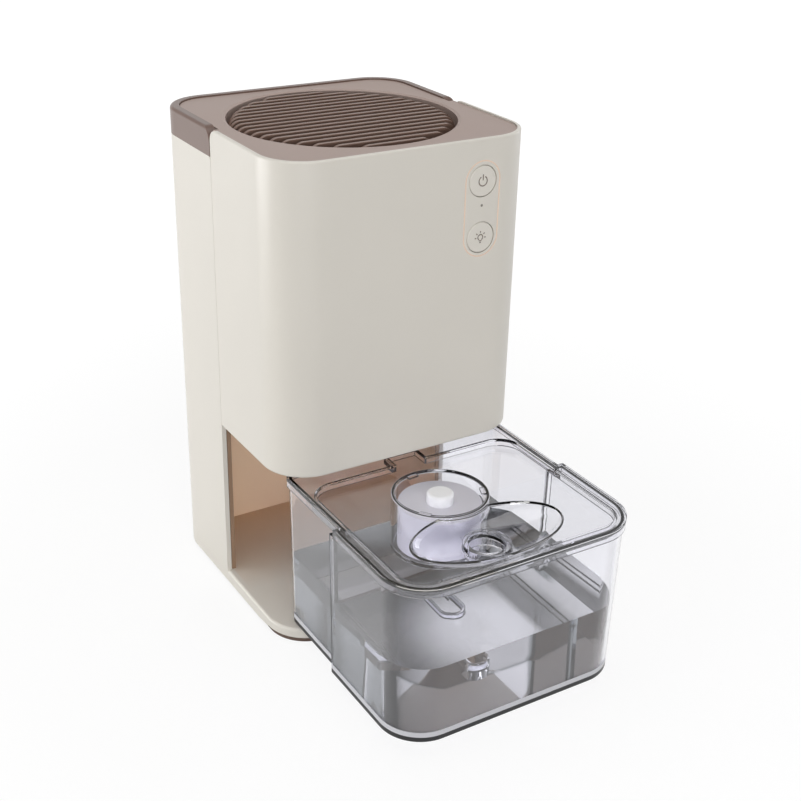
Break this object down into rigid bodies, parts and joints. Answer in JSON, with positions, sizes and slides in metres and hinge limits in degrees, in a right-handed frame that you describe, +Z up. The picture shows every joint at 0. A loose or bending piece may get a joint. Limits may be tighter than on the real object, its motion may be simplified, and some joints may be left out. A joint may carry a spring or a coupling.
{
  "type": "dehumidifier",
  "caption": "Compact upright dehumidifier with rounded cream shells, brown slatted top outlet, two front push buttons and a clear pull-out water tank with float.",
  "frame": {"origin": "on the standing surface, below the middle of the upright body", "axes": "+Z up, -Y towards the control side and the way the tank pulls out, +X to the right seen from behind the tank looking at the back, which is the right of someone facing the controls"},
  "size_m": [0.14, 0.247, 0.2564],
  "materials": {
    "cream_plastic": "satin moulded ABS, fine spark texture",
    "brown_plastic": "satin moulded ABS, warm grey brown",
    "grille_plastic": "satin moulded ABS, warm brown",
    "foot_plastic": "matt moulded plastic",
    "pad_rubber": "matt",
    "screw_steel": "zinc plated",
    "liner_plastic": "satin moulded ABS, tan",
    "diffuser": "milky diffuser",
    "white_board": "white circuit board",
    "green_board": "green circuit board",
    "tray_plastic": "moulded plastic",
    "duct_plastic": "moulded plastic",
    "heat_sink": "extruded, as drawn",
    "ceramic": "white alumina faces",
    "foam": "closed-cell foam",
    "fan_plastic": "black moulded plastic",
    "motor_steel": "plain",
    "rotor_plastic": "dark moulded plastic",
    "magnet_metal": "nickel plated",
    "switch_plastic": "plain",
    "copper_trim": "rose gold plated",
    "button_plastic": "satin moulded ABS",
    "jack_plastic": "black nylon",
    "clear_tank": "clear polystyrene",
    "clear_lid": "clear polystyrene",
    "float_plastic": "milky polypropylene",
    "knob_plastic": "milky polypropylene",
    "water": "clear water"
  },
  "bodies": {
    "root": {"front_shell": "cream_plastic", "rear_housing": "cream_plastic", "foot_plate": "foot_plastic", "anti_slip_pads": "pad_rubber", "foot_screws": "screw_steel", "housing_screws": "screw_steel", "rear_trim": "brown_plastic", "top_panel": "brown_plastic", "top_grille": "grille_plastic", "bay_liner": "liner_plastic", "bay_roof": "foot_plastic", "light_window": "diffuser", "night_light_board": "white_board", "level_sensor": "green_board", "drip_tray": "tray_plastic", "air_duct": "duct_plastic", "hot_heat_sink": "heat_sink", "cold_heat_sink": "heat_sink", "cooling_module": "ceramic", "insulation_frame": "foam", "fan_frame": "fan_plastic", "fan_motor": "motor_steel", "fan_screws": "screw_steel", "control_board": "green_board", "tact_switches": "switch_plastic", "board_screws": "screw_steel", "status_light": "diffuser", "button_bezel": "copper_trim", "power_jack": "jack_plastic"},
    "tank": {"tank_body": "clear_tank", "tank_lid": "clear_lid", "float_well": "clear_lid"},
    "float": {"float_body": "float_plastic", "float_knob": "knob_plastic", "float_magnet": "magnet_metal"},
    "fan": {"fan_rotor": "rotor_plastic", "fan_magnet": "magnet_metal"},
    "power_button": {"power_button": "button_plastic"},
    "light_button": {"light_button": "button_plastic"}
  },
  "joints": [
    {"name": "tank_slide", "type": "slide", "parent": "root", "child": "tank", "axis": [0, 1, 0], "range_m": [-0.02, 0.107]},
    {"name": "float_lift", "type": "slide", "parent": "tank", "child": "float", "axis": [0, 0, 1], "range_m": [0, 0.0035]},
    {"name": "fan_spin", "type": "hinge", "parent": "root", "child": "fan", "pos_m": [0, 0, 0.235], "axis": [0, 0, 1], "continuous": true},
    {"name": "power_button_press", "type": "slide", "parent": "root", "child": "power_button", "axis": [0, 1, 0], "range_m": [0, 0.0008], "stiffness_N_per_m": 400},
    {"name": "light_button_press", "type": "slide", "parent": "root", "child": "light_button", "axis": [0, 1, 0], "range_m": [0, 0.0008], "stiffness_N_per_m": 400}
  ]
}
